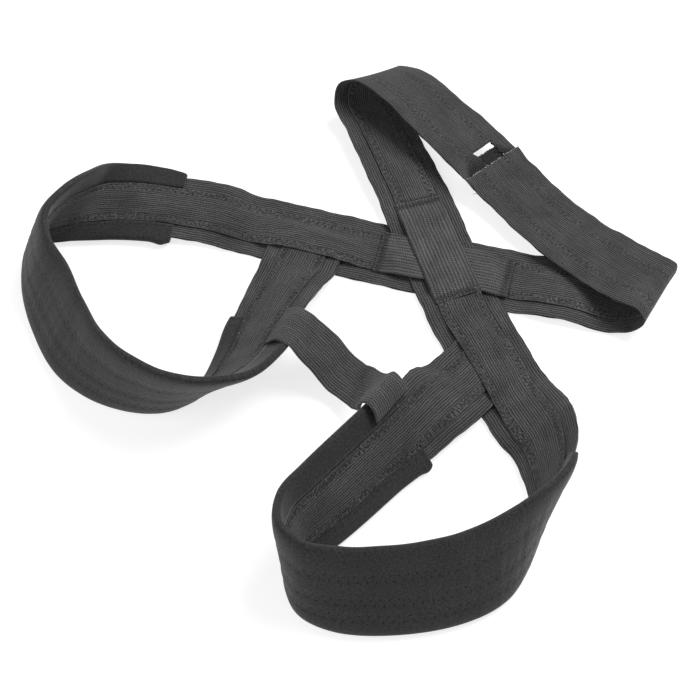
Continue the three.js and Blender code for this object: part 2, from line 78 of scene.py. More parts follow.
WAIST_ROWS = [
    (-0.45, 0.535, FLOOR, 0.05, 0.24, 0.96, 0.06),
    (-0.32, 0.5, FLOOR, 0.0, 0.27, 0.96, 0.0),
    (-0.14, 0.45, FLOOR, 0.0, 0.27, 0.96, 0.0),
    (0.1, 0.38, FLOOR, 0.0, 0.26, 0.97, 0.0),
    (0.56, 0.26, FLOOR, 0.0, 0.25, 0.97, 0.0),
    (0.63, 0.242, FLOOR, 0.02, 0.25, 0.96, -0.05),
    (0.71, 0.22, FLOOR, 0.03, 0.26, 0.96, -0.06),
    (0.84, 0.185, FLOOR, 0.02, 0.28, 0.96, 0.0),
    (0.935, 0.16, FLOOR, 0.07, 0.36, 0.93, -0.08),
    (0.985, 0.15, FLOOR, 0.24, 0.5, 0.84, -0.16),
    (0.975, 0.17, FLOOR, 0.38, 0.62, 0.78, -0.1),
    (0.92, 0.22, FLOOR, 0.36, 0.71, 0.7, 0.0),
    (0.84, 0.31, FLOOR, 0.22, 0.73, 0.69, 0.0),
    (0.74, 0.415, ON_BAND, 0.08, 0.74, 0.66, -0.05),
    (0.66, 0.5, ON_BAND, 0.06, 0.74, 0.67, -0.1),
    (0.53, 0.66, FLOOR, 0.14, 0.73, 0.68, -0.1),
    (0.42, 0.78, FLOOR, 0.26, 0.72, 0.69, -0.12),
    (0.3, 0.9, FLOOR, 0.36, 0.68, 0.71, -0.18),
    (0.19, 1.01, FLOOR, 0.42, 0.64, 0.72, -0.26),
    (0.1, 1.075, FLOOR, 0.32, 0.62, 0.66, -0.38),
    (0.055, 1.08, FLOOR, 0.14, 0.74, 0.5, -0.42),
    (0.055, 1.03, FLOOR, 0.03, 0.88, 0.36, -0.3),
    (0.1, 0.92, FLOOR, 0.02, 0.92, 0.32, -0.22),
    (0.17, 0.73, FLOOR, 0.05, 0.93, 0.33, -0.16),
    (0.235, 0.555, ON_BAND, 0.01, 0.94, 0.33, -0.06),
    (0.265, 0.46, ON_BAND, 0.0, 0.94, 0.32, 0.0),
    (0.345, 0.21, ON_BAND, 0.0, 0.94, 0.32, 0.0),
    (0.385, 0.1, ON_BAND, 0.0, 0.94, 0.33, 0.0),
    (0.435, -0.01, FLOOR, 0.01, 0.94, 0.34, 0.0),
]
RIGHT_LEG_ROWS = [
    (0.482, -0.12, FLOOR, 0.01, 0.93, 0.38, 0.0),
    (0.532, -0.24, FLOOR, 0.02, 0.87, 0.4, 0.22),
    (0.582, -0.38, FLOOR, 0.03, 0.64, 0.32, 0.66),
    (0.592, -0.51, ON_SLEEVE, 0.01, 0.5, 0.28, 0.82),
    (0.567, -0.63, ON_SLEEVE, 0.01, 0.26, 0.24, 0.93),
    (0.502, -0.73, ON_SLEEVE, 0.01, 0.02, 0.3, 0.95),
    (0.43, -0.8, ON_SLEEVE, 0.01, -0.14, 0.38, 0.91),
    (0.34, -0.85, ON_SLEEVE, 0.01, -0.22, 0.42, 0.88),
    (0.22, -0.885, ON_SLEEVE, 0.01, -0.1, 0.48, 0.87),
    (0.09, -0.9, ON_SLEEVE, 0.01, 0.04, 0.48, 0.88),
    (-0.04, -0.895, ON_SLEEVE, 0.01, 0.12, 0.4, 0.91),
    (-0.14, -0.86, ON_SLEEVE, 0.01, 0.04, 0.26, 0.96),
    (-0.18, -0.79, ON_SLEEVE, 0.01, -0.1, 0.2, 0.97),
    (-0.155, -0.71, ON_SLEEVE, 0.01, -0.26, 0.28, 0.92),
    (-0.08, -0.63, ON_SLEEVE, 0.01, -0.36, 0.38, 0.85),
    (0.0, -0.545, ON_SLEEVE, 0.01, -0.39, 0.42, 0.82),
    (0.085, -0.455, ON_SLEEVE, 0.01, -0.4, 0.44, 0.8),
    (0.165, -0.37, ON_SLEEVE, 0.01, -0.46, 0.5, 0.73),
    (0.23, -0.29, ON_SLEEVE, 0.03, -0.58, 0.58, 0.57),
    (0.29, -0.21, ON_BAND, 0.06, -0.74, 0.6, 0.3),
    (0.36, -0.13, ON_BAND, 0.03, -0.82, 0.56, -0.02),
    (0.47, -0.01, ON_BAND, 0.01, -0.78, 0.62, 0.02),
]


def smooth_rows(rows, step):
    """A smooth curve through rows of numbers: x and y turn smoothly, the other columns never overshoot a
    row."""
    rows = np.array(rows, float)
    gaps = np.linalg.norm(np.diff(rows[:, :3], axis=0), axis=1)
    at = np.concatenate([[0], np.cumsum(gaps)])
    rate = np.diff(rows, axis=0) / gaps[:, None]
    slope = np.zeros_like(rows)
    slope[0], slope[-1] = rate[0], rate[-1]
    before, after = rate[:-1], rate[1:]
    near, far = gaps[:-1, None], gaps[1:, None]
    slope[1:-1] = (before * far + after * near) / (near + far)
    with np.errstate(divide="ignore", invalid="ignore"):
        steady = np.where(before * after <= 0, 0, 2 * before * after / (before + after))
    slope[1:-1, 2:] = steady[:, 2:]
    places = np.linspace(0, at[-1], math.ceil(at[-1] / step) + 1)
    i = np.clip(np.searchsorted(at, places, side="right") - 1, 0, len(gaps) - 1)
    h = gaps[i][:, None]
    u = (places - at[i])[:, None] / h
    return (
        (2 * u**3 - 3 * u**2 + 1) * rows[i]
        + (u**3 - 2 * u**2 + u) * h * slope[i]
        + (3 * u**2 - 2 * u**3) * rows[i + 1]
        + (u**3 - u**2) * h * slope[i + 1]
    )


def unit(vectors):
    return vectors / np.linalg.norm(vectors, axis=-1, keepdims=True)


def lay_strap(rows, step=WEAVE_STEP):
    """Stations along a strap's middle line: centre, across, inward (normal of the inner face), ahead,
    along."""
    curve = smooth_rows(rows, step)
    centre = curve[:, :3]
    across = unit(curve[:, 3:6])
    ahead = unit(np.gradient(centre, axis=0))
    inward = unit(np.cross(ahead, across))
    along = np.concatenate([[0], np.cumsum(np.linalg.norm(np.diff(centre, axis=0), axis=1))])
    return {"centre": centre, "across": across, "inward": inward, "ahead": ahead, "along": along}


def laid_row(row):
    x, y, under, rise, across_x, across_y, across_z = row
    length = math.sqrt(across_x**2 + across_y**2 + across_z**2)
    lean = abs(across_z) / length
    flat = math.sqrt(1 - lean * lean)
    height = under + rise * BAND_WIDTH + BAND_WIDTH / 2 * lean + BAND_THICKNESS / 2 * flat
    place = (x * LAID_HALF + MIDDLE_X, y * LAID_HALF + MIDDLE_Y, height)
    return (*place, across_x / length, across_y / length, across_z / length)


belt = lay_strap([laid_row(row) for row in LEFT_LEG_ROWS + WAIST_ROWS + RIGHT_LEG_ROWS])
BELT_LENGTH = belt["along"][-1]


def along_strap(strap, key, along):
    """One of a strap's directions, or its centre, at distances along it."""
    return np.stack([np.interp(along, strap["along"], strap[key][:, i]) for i in range(3)], -1)


def stretch(strap, start, end, step=WEAVE_STEP):
    """Even stations of a strap from start to end, as distances along it."""
    places = np.linspace(start, end, max(2, math.ceil((end - start) / step) + 1))
    part = {"along": places}
    for key in ("centre", "across", "inward", "ahead"):
        part[key] = along_strap(strap, key, places)
        if key != "centre":
            part[key] = unit(part[key])
    return part


def surface(strap, along, v, w):
    """Points at v across the strap and w towards its inner face, at distances along it."""
    centre, across, inward = (along_strap(strap, key, along) for key in ("centre", "across", "inward"))
    return centre + unit(across) * np.asarray(v)[..., None] + unit(inward) * np.asarray(w)[..., None]


def webbing_section(width, thickness, offset, columns):
    """Outline of a flat band, its long edges rounded: rows of v across and w towards the inner face."""
    half, thick = width / 2, thickness / 2
    round_by = min(thick, EDGE_ROUNDING)
    flat = np.linspace(-half + round_by, half - round_by, columns)
    turn = np.linspace(-math.pi / 2, math.pi / 2, 5)[1:-1]
    edge_v = half - round_by + round_by * np.cos(turn)
    edge_w = thick * np.sin(turn)
    v = np.concatenate([flat, edge_v, flat[::-1], -edge_v])
    w = np.concatenate([np.full(columns, -thick), edge_w, np.full(columns, thick), -edge_w])
    return np.stack([v, w + offset], axis=1)


def closed_piece(name, mesh):
    """A piece of the scene from a closed mesh, its faces turned outwards."""
    piece = bpy.data.objects.new(name, mesh)
    bpy.context.scene.collection.objects.link(piece)
    bpy.ops.object.select_all(action="DESELECT")
    piece.select_set(True)
    bpy.context.view_layer.objects.active = piece
    bpy.ops.object.mode_set(mode="EDIT")
    bpy.ops.mesh.select_all(action="SELECT")
    bpy.ops.mesh.normals_make_consistent(inside=False)
    bpy.ops.object.mode_set(mode="OBJECT")
    return piece


def woven_solid(name, part, sections, materials, lift=None, dark=None):
    """Closed cloth swept along stations. sections is (stations, points, 2), and the UV map holds v and the
    distance along, in millimetres. The first material is on the inner face, a second one on the outer face.
    lift raises the cloth over what lies under it, and dark says how much each place is shaded."""
    count, size = sections.shape[0], sections.shape[1]
    v, w = sections[..., 0], sections[..., 1]
    points = (part["centre"][:, None] + part["across"][:, None] * v[..., None]
              + part["inward"][:, None] * w[..., None])
    along = np.repeat(part["along"][:, None], size, axis=1)
    if lift is not None:
        points[..., 2] += lift(points, along, v)
    ring = np.arange(size)
    after = (ring + 1) % size
    first = (np.arange(count - 1) * size)[:, None]
    quads = np.stack([first + ring, first + after, first + after + size, first + ring + size], axis=-1)
    quads = quads.reshape(-1, 4)
    mesh = bpy.data.meshes.new(name)
    caps = [list(range(size))[::-1], list(range((count - 1) * size, count * size))]
    faces = quads.tolist() + caps
    mesh.from_pydata((points.reshape(-1, 3) * METRES).tolist(), [], faces)
    uv = mesh.uv_layers.new(name="weave")
    corners = np.empty(len(mesh.loops), int)
    mesh.loops.foreach_get("vertex_index", corners)
    flat_uv = np.stack([v.reshape(-1)[corners], along.reshape(-1)[corners]], axis=1)
    uv.data.foreach_set("uv", flat_uv.reshape(-1))
    shade = mesh.attributes.new("dark", "FLOAT", "POINT")
    amount = np.zeros(count * size) if dark is None else dark(along, v, w).reshape(-1)
    shade.data.foreach_set("value", amount.astype(np.float32))
    for material in materials:
        mesh.materials.append(material)
    if len(materials) > 1:
        middle = (w.min(axis=1) + w.max(axis=1)) / 2
        outer = (w[:-1][:, ring] + w[:-1][:, after]) / 2 < middle[:-1, None]
        mesh.polygons.foreach_set("material_index", np.append(outer.reshape(-1).astype(int), [0, 0]))
    mesh.polygons.foreach_set("use_smooth", [True] * len(quads) + [False, False])
    return closed_piece(name, mesh)


def waver(along, *waves):
    """A small unevenness along a strap, from waves of (length, height, phase)."""
    return sum(height * np.sin(2 * math.pi * along / length + phase) for length, height, phase in waves)


def math_nodes(material):
    """A short way to write sums: each call adds one math node, with numbers or other nodes' outputs going
    in."""
    tree = material.node_tree

    def node(kind, *values):
        made = tree.nodes.new("ShaderNodeMath")
        made.operation = kind
        for socket, value in zip(made.inputs, values):
            if isinstance(value, (int, float)):
                socket.default_value = value
            else:
                tree.links.new(value, socket)
        return made.outputs[0]

    return node


def woven_material(name):
    """A new material, its math nodes, and from its UV map the cloth's own v and distance along."""
    material = bpy.data.materials.new(name)
    material.use_nodes = True
    tree = material.node_tree
    uv = tree.nodes.new("ShaderNodeUVMap")
    uv.uv_map = "weave"
    split = tree.nodes.new("ShaderNodeSeparateXYZ")
    tree.links.new(uv.outputs["UV"], split.inputs[0])
    return material, math_nodes(material), split.outputs["X"], split.outputs["Y"]


def cloth_noise(material, scale_across, scale_along, detail):
    """Noise in the cloth's own millimetres, so many blotches per millimetre across and along."""
    tree = material.node_tree
    uv = tree.nodes.new("ShaderNodeUVMap")
    uv.uv_map = "weave"
    scaled = tree.nodes.new("ShaderNodeMapping")
    scaled.inputs["Scale"].default_value = (scale_across, scale_along, 1)
    noise = tree.nodes.new("ShaderNodeTexNoise")
    noise.inputs["Scale"].default_value = 1.0
    noise.inputs["Detail"].default_value = detail
    tree.links.new(uv.outputs["UV"], scaled.inputs["Vector"])
    tree.links.new(scaled.outputs["Vector"], noise.inputs["Vector"])
    return noise.outputs["Fac"]


def between(node, value, low, high):
    """0 at low, 1 at high, held to that range."""
    made = node("DIVIDE", node("SUBTRACT", value, low), high - low)
    made.node.use_clamp = True
    return made


def zigzag_pull(node, offset, along, width, period, line=0.3):
    """How far a zigzag row pulls the cloth in at an offset across from the row's middle: 1 at the needle
    holes, line along the thread between them."""
    turn = node("FRACT", node("ADD", node("DIVIDE", along, period), 0.5))
    swing = node("MULTIPLY_ADD", node("ABSOLUTE", node("SUBTRACT", turn, 0.5)), 4, -1)
    off_line = node("ABSOLUTE", node("MULTIPLY_ADD", swing, -width / 2, offset))
    on_line = between(node, off_line, 1.0, 0.15)
    at_turn = between(node, node("ABSOLUTE", swing), 0.55, 0.95)
    return node("MULTIPLY", on_line, node("MULTIPLY_ADD", at_turn, 1 - line, line))


SPECULAR, SHEEN_ROUGHNESS = 0.25, 0.45
COOL_DYE = 1.03  # the black dye is a touch blue


def cloth_shader(material, height, shade, colours, relief, roughness, sheen):
    """Height from 0 to 1 gives the relief and, through a ramp from the groove's to the crest's colour, the
    tone: partly the yarn's own uneven tone, partly painted shade in the grooves and painted light on the
    crests.
    The mesh's dark attribute, painted shade, is taken off that tone."""
    tree = material.node_tree
    node = math_nodes(material)
    shader = tree.nodes["Principled BSDF"]
    shader.inputs["Roughness"].default_value = roughness
    shader.inputs["Specular IOR Level"].default_value = SPECULAR
    shader.inputs["Sheen Weight"].default_value = sheen
    shader.inputs["Sheen Roughness"].default_value = SHEEN_ROUGHNESS
    bump = tree.nodes.new("ShaderNodeBump")
    bump.inputs["Distance"].default_value = relief * METRES
    tree.links.new(height, bump.inputs["Height"])
    tree.links.new(bump.outputs["Normal"], shader.inputs["Normal"])
    ramp = tree.nodes.new("ShaderNodeValToRGB")
    (groove, groove_at), (crest, crest_at) = colours
    ramp.color_ramp.elements[0].color = (groove, groove, groove * COOL_DYE, 1)
    ramp.color_ramp.elements[0].position = groove_at
    ramp.color_ramp.elements[1].color = (crest, crest, crest * COOL_DYE, 1)
    ramp.color_ramp.elements[1].position = crest_at
    tree.links.new(height, ramp.inputs["Fac"])
    # The dark attribute holds painted shade.
    dark = tree.nodes.new("ShaderNodeAttribute")
    dark.attribute_name = "dark"
    left = node("MULTIPLY", shade, node("SUBTRACT", 1.0, dark.outputs["Fac"]))
    toned = tree.nodes.new("ShaderNodeVectorMath")
    toned.operation = "SCALE"
    tree.links.new(ramp.outputs["Color"], toned.inputs[0])
    tree.links.new(left, toned.inputs["Scale"])
    tree.links.new(toned.outputs["Vector"], shader.inputs["Base Color"])


# Columns: blotches per millimetre across the strap, and along it, and detail.
YARN_NOISE = (1.5, 1.1, 2.0)
SLACK_NOISE = (0.35, 0.06, 2.0)
DRAWN_NOISE = (0.45, 0.035, 3.0)
CLOUD_NOISE = (0.05, 0.04, 4.0)
RINGLET_NOISE = (0.7, 0.6, 2.0)
RIB_WANDER = 0.9
GROOVE_AT, CREST_AT = 0.1, 0.85
ELASTIC_ROUGHNESS, ELASTIC_SHEEN = 0.85, 0.1


def elastic_material(name, groove, crest, rib_pitch, relief, weft_pitch, weft=0.3, grain=0.35, seam=0.0):
    """Woven elastic: ribs along the strap, each crossed by weft threads, in uneven yarn. seam is how much
    the two zigzag rows that hold the inner band show, in relief and as painted shade at their needle holes."""
    material, node, v, along = woven_material(name)
    yarn = cloth_noise(material, *YARN_NOISE)
    slack = cloth_noise(material, *SLACK_NOISE)
    drawn = cloth_noise(material, *DRAWN_NOISE)
    cloudy = cloth_noise(material, *CLOUD_NOISE)
    wander = node("MULTIPLY_ADD", slack, rib_pitch * RIB_WANDER, v)
    rib = node("MULTIPLY_ADD", node("SINE", node("MULTIPLY", wander, 2 * math.pi / rib_pitch)), 0.5, 0.5)
    rib = node("MULTIPLY", rib, node("MULTIPLY_ADD", drawn, 1.1, 0.35))
    rib_number = node("FLOOR", node("DIVIDE", wander, rib_pitch))
    weft_phase = node("MULTIPLY_ADD", along, 2 * math.pi / weft_pitch, node("MULTIPLY", rib_number, math.pi))
    thread = node("MULTIPLY_ADD", node("SINE", weft_phase), 0.5, 0.5)
    height = node("MULTIPLY_ADD", thread, weft, node("MULTIPLY", rib, 1 - weft))
    height = node("MULTIPLY_ADD", node("SUBTRACT", yarn, 0.5), 2.4 * grain, height)
    shade = node("MULTIPLY_ADD", cloudy, 1.1, 0.45)
    if seam:
        offset = node("SUBTRACT", node("ABSOLUTE", v), ZIGZAG_AT)
        pull = zigzag_pull(node, offset, along, ZIGZAG_WIDTH, ZIGZAG_PERIOD)
        zone = between(node, node("ABSOLUTE", offset), ZIGZAG_WIDTH / 2 + 0.7, ZIGZAG_WIDTH / 2 - 0.3)
        zone = node("MULTIPLY", zone, node("MULTIPLY_ADD", between(node, cloudy, 0.35, 0.6), 0.4, 0.6))
        ringlets = between(node, cloth_noise(material, *RINGLET_NOISE), 0.34, 0.66)
        mixed = node("MULTIPLY_ADD", height, -0.7, node("MULTIPLY_ADD", ringlets, 0.95, -0.2))
        height = node("MULTIPLY_ADD", node("MULTIPLY", zone, seam), mixed, height)
        # Painted shade: darker at the needle holes and along the thread that the zigzag draws in.
        shade = node("MULTIPLY", shade, node("MULTIPLY_ADD", pull, -0.6 * seam, 1.0))
    colours = ((groove, GROOVE_AT), (crest, CREST_AT))
    cloth_shader(material, height, shade, colours, relief, ELASTIC_ROUGHNESS, ELASTIC_SHEEN)
    return material


INNER_WIDTH = 30.0
ZIGZAG_AT = INNER_WIDTH / 2 - 3.1
ZIGZAG_WIDTH, ZIGZAG_PERIOD = 4.4, 3.4
elastic_inside = elastic_material("elastic_inside", 0.016, 0.12, 1.7, 0.4, 1.2, grain=0.45)
elastic_outside = elastic_material("elastic_outside", 0.012, 0.108, 1.5, 0.3, 1.3, weft=0.35, seam=0.6)

JOINT_AT = 0.5154 * BELT_LENGTH
SEAM_OVERLAP = 8.0
RAMP = 9.0
BAND_COLUMNS = 26
SLOT_LENGTH, SLOT_WIDTH, SLOT_GAP, SLOT_ASIDE = 18.0, 15.0, 5.0, 5.0
SLOT_FROM = JOINT_AT + LAYER_GAP
SLOT_TO = SLOT_FROM + SLOT_WIDTH
EDGE_WAVER = 0.25
CUT_SPREAD, CUT_SPREAD_RUN = 0.05, 6  # how much wider the cut end frays, and over what length
TIP_GATHER, TIP_GATHER_RUN = 0.14, 4
# The fan of painted shadow beside the slot: how dark, how it narrows, its soft edge, and how it fades.
FAN_SHADE, FAN_NARROWING, FAN_EDGE, FAN_FADE = 0.8, 0.5, 0.15, 0.6


def band_sections(part, width, thickness, offset, columns, edge_waver=EDGE_WAVER):
    """A band's outline at each station, with slightly uneven edges."""
    section = webbing_section(width, thickness, 0.0, columns)
    sections = np.repeat(section[None], len(part["along"]), axis=0)
    share = sections[..., 0] / (width / 2)
    along = part["along"][:, None]
    left = waver(along, (31, edge_waver, 0.4), (13, edge_waver / 2, 1.9))
    right = waver(along, (27, edge_waver, 2.2), (11, edge_waver / 2, 0.7))
    sections[..., 0] += np.where(share > 0, right, left) * share**2
    sections[..., 1] += np.reshape(offset, (-1, 1)) + uneven(along, sections[..., 0])
    return sections


def uneven(along, v):
    """Slight bulges that all the layers of a strap share, so that none of them cuts into the next."""
    return waver(along + 0.4 * v, (47, 0.2, 0), (19, 0.1, 1.2))


left_part = stretch(belt, 0, JOINT_AT)
climb = np.clip((left_part["along"] - JOINT_AT + SEAM_OVERLAP + RAMP / 2) / RAMP, 0, 1)
left_offset = -ON_BAND * climb * climb * (3 - 2 * climb)
left_sections = band_sections(left_part, BAND_WIDTH, BAND_THICKNESS, left_offset, BAND_COLUMNS)
from_joint = JOINT_AT - left_part["along"][:, None]
left_sections[..., 0] *= 1 + CUT_SPREAD * np.exp(-((from_joint / CUT_SPREAD_RUN) ** 2))
left_band = woven_solid("left_wide_elastic", left_part, left_sections, [elastic_inside, elastic_outside])
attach(left_band, "root")
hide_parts("left_wide_band")

right_from = JOINT_AT - SEAM_OVERLAP
right_part = stretch(belt, right_from, BELT_LENGTH)


def seam_shadow(along, v, w):
    """Painted shadow: the cloth beside the slot, pulled down under the raw end of the other band, is painted
    darker in a fan.
    """
    beyond = np.clip((along - JOINT_AT) / SLOT_WIDTH, 0, 1)
    reach = 1.0 - FAN_NARROWING * beyond
    inside = np.clip((reach - np.abs(v) / (BAND_WIDTH / 2)) / FAN_EDGE, 0, 1)
    return FAN_SHADE * inside * (1 - beyond) ** FAN_FADE * (w < 0)


right_sections = band_sections(right_part, BAND_WIDTH, BAND_THICKNESS, 0.0, BAND_COLUMNS)
from_tip = BELT_LENGTH - right_part["along"][:, None]
right_sections[..., 0] *= 1 - TIP_GATHER * np.exp(-((from_tip / TIP_GATHER_RUN) ** 2))
right_band = woven_solid(
    "right_wide_elastic", right_part, right_sections, [elastic_inside, elastic_outside], dark=seam_shadow)
# The crosswise slot is cut through the band with a box that is as wide as the slot.
slot_part = stretch(belt, SLOT_FROM, SLOT_TO)
slot_sections = band_sections(slot_part, SLOT_LENGTH, 4 * BAND_THICKNESS, 0.0, 2, 0.0)
slot_sections[..., 0] += SLOT_ASIDE + waver(slot_part["along"][:, None], (7.3, 0.8, 0), (3.1, 0.4, 1))
slot_cutter = woven_solid("slot_cutter", slot_part, slot_sections, [elastic_inside])
cut = right_band.modifiers.new("slot", "BOOLEAN")
cut.operation = "DIFFERENCE"
cut.solver = "EXACT"
cut.object = slot_cutter
bpy.ops.object.select_all(action="DESELECT")
bpy.context.view_layer.objects.active = right_band
bpy.ops.object.modifier_apply(modifier="slot")
bpy.data.objects.remove(slot_cutter)
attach(right_band, "root")
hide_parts("right_wide_band")

# Inner bands: a 30 mm elastic laid along the middle of the inner face, in four lengths, each sewn down by a
# zigzag row just inside each edge. They climb over the belt's own two ends where those are tucked in.
INNER_THICKNESS = 1.2
INNER_OFFSET = (BAND_THICKNESS + INNER_THICKNESS) / 2 + LAYER_GAP
INNER_COLUMNS = 20
SHOULDER = 4.0


def cover_at(points, cover, width, offset, thickness):
    """How near points are to lying over a strap, in plan, from 1 down to 0, and the strap's upper face
    there."""
    start, end = cover["centre"][:-1], cover["centre"][1:]
    run = (end - start)[:, :2]
    length = np.linalg.norm(run, axis=1)
    flat = points.reshape(-1, 3)
    nearest = np.full(len(flat), np.inf)
    top = np.zeros(len(flat))
    for i in range(len(start)):
        gap = flat[:, :2] - start[i, :2]
        share = gap @ run[i] / length[i] ** 2
        side = (run[i, 0] * gap[:, 1] - run[i, 1] * gap[:, 0]) / length[i]
        beyond = np.maximum(np.maximum(-share, share - 1), 0) * length[i]
        outside = np.hypot(beyond, np.maximum(np.abs(side) - width / 2, 0))
        held = np.clip(share, 0, 1)[:, None]
        across = cover["across"][i] * (1 - held) + cover["across"][i + 1] * held
        level = np.hypot(across[:, 0], across[:, 1])
        v = np.clip(side / level, -width / 2, width / 2)
        height = start[i, 2] + (end[i, 2] - start[i, 2]) * held[:, 0] + v * across[:, 2]
        better = outside < nearest
        nearest = np.where(better, outside, nearest)
        top = np.where(better, height + (offset + thickness / 2) / level, top)
    near = np.clip(1 - (nearest - SHOULDER) / RAMP, 0, 1)
    return (near * near * (3 - 2 * near)).reshape(points.shape[:-1]), top.reshape(points.shape[:-1])


def climb_over(covers, offset, thickness):
    """The lift that keeps a layer clear above the covers, worked out on its middle surface."""
    def lift(points, along, v):
        middle = surface(belt, along, v, np.full(np.shape(v), offset))
        lifts = [np.zeros(np.shape(v))]
        for cover, cover_width, cover_offset, cover_thickness in covers:
            near, top = cover_at(middle, cover, cover_width, cover_offset, cover_thickness)
            lifts.append(near * np.maximum(top + LAYER_GAP + thickness / 2 - middle[..., 2], 0))
        return np.max(lifts, axis=0)
    return lift


def both_layers(start, end):
    """A wide band and the inner band on it, as covers that another strap climbs over."""
    part = stretch(belt, start, end, COARSE_STEP)
    return [(part, BAND_WIDTH, 0.0, BAND_THICKNESS), (part, INNER_WIDTH, INNER_OFFSET, INNER_THICKNESS)]


LEFT_SLEEVE = (0.0451 * BELT_LENGTH, 0.2475 * BELT_LENGTH)
RIGHT_SLEEVE = (0.7767 * BELT_LENGTH, 0.948 * BELT_LENGTH)
LEFT_PATCH = (0.324 * BELT_LENGTH, 0.3735 * BELT_LENGTH)
RIGHT_PATCH = (0.6414 * BELT_LENGTH, 0.6876 * BELT_LENGTH)
over_left_end = climb_over(both_layers(0, LEFT_SLEEVE[0]), INNER_OFFSET, INNER_THICKNESS)
over_right_end = climb_over(both_layers(RIGHT_SLEEVE[1], BELT_LENGTH), INNER_OFFSET, INNER_THICKNESS)


def left_leg_lift(points, along, v):
    return np.where(along > LEFT_SLEEVE[1], over_left_end(points, along, v), 0)


def right_leg_lift(points, along, v):
    over_end = np.where(along < RIGHT_SLEEVE[0], over_right_end(points, along, v), 0)
    return over_end + curled_corner(points, along, v)


SWELL, ROW_SINK, PUCKER_SINK, WAVE_RISE = 0.35, 0.35, 0.15, 0.12
# Painted shade behind the slot: how dark, and over what length it fades in.
BEHIND_SHADE, BEHIND_RUN = 0.7, 2
CURL_RISE, CURL_RUN = 2.4, 5
CURL_FROM, CURL_REACH = 5, 10


def inner_sections(part):
    """The band is held down under its two zigzag rows and stands a little proud between them."""
    sections = band_sections(part, INNER_WIDTH, INNER_THICKNESS, INNER_OFFSET, INNER_COLUMNS, 0.18)
    v, w = sections[..., 0], sections[..., 1]
    top = np.clip((w - INNER_OFFSET) / (INNER_THICKNESS / 2), 0, 1)
    along = part["along"][:, None]
    row = np.exp(-(((np.abs(v) - ZIGZAG_AT) / (ZIGZAG_WIDTH / 2)) ** 2))
    pucker = 0.5 + 0.5 * np.sin(2 * math.pi * along / ZIGZAG_PERIOD)
    swell = SWELL * np.clip(1 - (v / ZIGZAG_AT) ** 2, 0, 1)
    wave = WAVE_RISE * waver(along, (23, 1, 0.3), (41, 1, 2))
    sections[..., 1] += top * (swell - row * (ROW_SINK + PUCKER_SINK * pucker) + wave)
    return sections


def shade_behind_slot(along, v, w):
    """Painted shade: the end of the inner band that lies behind the slot is painted darker, as it lies in
    the dark.
    """
    entering = np.clip((along - SLOT_FROM + BEHIND_RUN) / BEHIND_RUN, 0, 1)
    leaving = np.clip((SLOT_TO + BEHIND_RUN - along) / BEHIND_RUN, 0, 1)
    return BEHIND_SHADE * entering * leaving * (w < INNER_OFFSET)


def curled_corner(points, along, v):
    """The right corner of the band's cut end stands up over the crossing patch."""
    near_end = np.exp(-(((along - RIGHT_PATCH[1]) / CURL_RUN) ** 2))
    return CURL_RISE * near_end * np.clip((v - CURL_FROM) / CURL_REACH, 0, 1) ** 1.5


def spun_thread(name, colour, roughness):
    """Plain polyester thread, too thin to show a pattern of its own."""
    material = bpy.data.materials.new(name)
    material.use_nodes = True
    shader = material.node_tree.nodes["Principled BSDF"]
    shader.inputs["Base Color"].default_value = (*colour, 1)
    shader.inputs["Roughness"].default_value = roughness
    return material


SEAM_THREAD = 0.2
dark_thread = spun_thread("dark_thread", (0.075, 0.075, 0.077), 0.6)


def stitch_mesh(name, legs, radius=SEAM_THREAD, material=dark_thread):
    """Threads, each leg a thin round bar from one needle hole to the next, highest in its middle. legs is a
    list of (start points, end points, outward directions)."""
    start = np.concatenate([leg[0] for leg in legs])
    end = np.concatenate([leg[1] for leg in legs])
    out = unit(np.concatenate([leg[2] for leg in legs]))
    ahead = unit(end - start)
    side = unit(np.cross(ahead, out))
    rings = []
    for share, rise, thick in ((0.0, -0.5, 0.6), (0.25, 0.55, 1.0), (0.75, 0.55, 1.0), (1.0, -0.5, 0.6)):
        middle = start + (end - start) * share + out * radius * rise
        for turn in range(4):
            angle = math.pi / 4 + turn * math.pi / 2
            rings.append(middle + (side * math.cos(angle) + out * math.sin(angle)) * radius * thick)
    points = np.stack(rings, axis=1)
    count = len(points)
    sides = [(k, (k + 1) % 4) for k in range(4)]
    faces = [[r + a, r + b, r + 4 + b, r + 4 + a] for r in (0, 4, 8) for a, b in sides]
    faces += [[3, 2, 1, 0], [12, 13, 14, 15]]
    all_faces = (np.array(faces)[None] + (np.arange(count) * 16)[:, None, None]).reshape(-1, 4)
    mesh = bpy.data.meshes.new(name)
    mesh.from_pydata((points.reshape(-1, 3) * METRES).tolist(), [], all_faces.tolist())
    mesh.materials.append(material)
    mesh.polygons.foreach_set("use_smooth", [True] * len(all_faces))
    return closed_piece(name, mesh)


def sewn_row(along, v, w, lift=None, face=1):
    """Stitches from hole to hole along the belt at v and w, on its inner face (1) or its outer one (-1)."""
    points = surface(belt, along, v, w)
    if lift is not None:
        points[:, 2] += lift(points[:, None], along[:, None], v[:, None])[:, 0]
    out = face * along_strap(belt, "inward", along)
    return points[:-1], points[1:], out[:-1]


def zigzag_row(start, end, v, w, lift=None):
    """Zigzag legs along the belt at v, on the surface at w."""
    half_period = ZIGZAG_PERIOD / 2
    turns = np.arange(math.ceil(start / half_period), math.floor(end / half_period) + 1)
    along = turns * ZIGZAG_PERIOD / 2
    across = v + math.copysign(ZIGZAG_WIDTH / 2, v) * np.where(turns % 2, 1.0, -1.0)
    return sewn_row(along, across, w + uneven(along, across), lift)


STITCH_SINK, STITCH_MARGIN = 0.3, 1
INNER_TOP = INNER_OFFSET + INNER_THICKNESS / 2 - STITCH_SINK
BEFORE_LEFT_PATCH, AFTER_LEFT_PATCH = LEFT_PATCH[0] - LAYER_GAP, LEFT_PATCH[1] + LAYER_GAP
BEFORE_RIGHT_PATCH, AFTER_RIGHT_PATCH = RIGHT_PATCH[0] - LAYER_GAP, RIGHT_PATCH[1] + LAYER_GAP
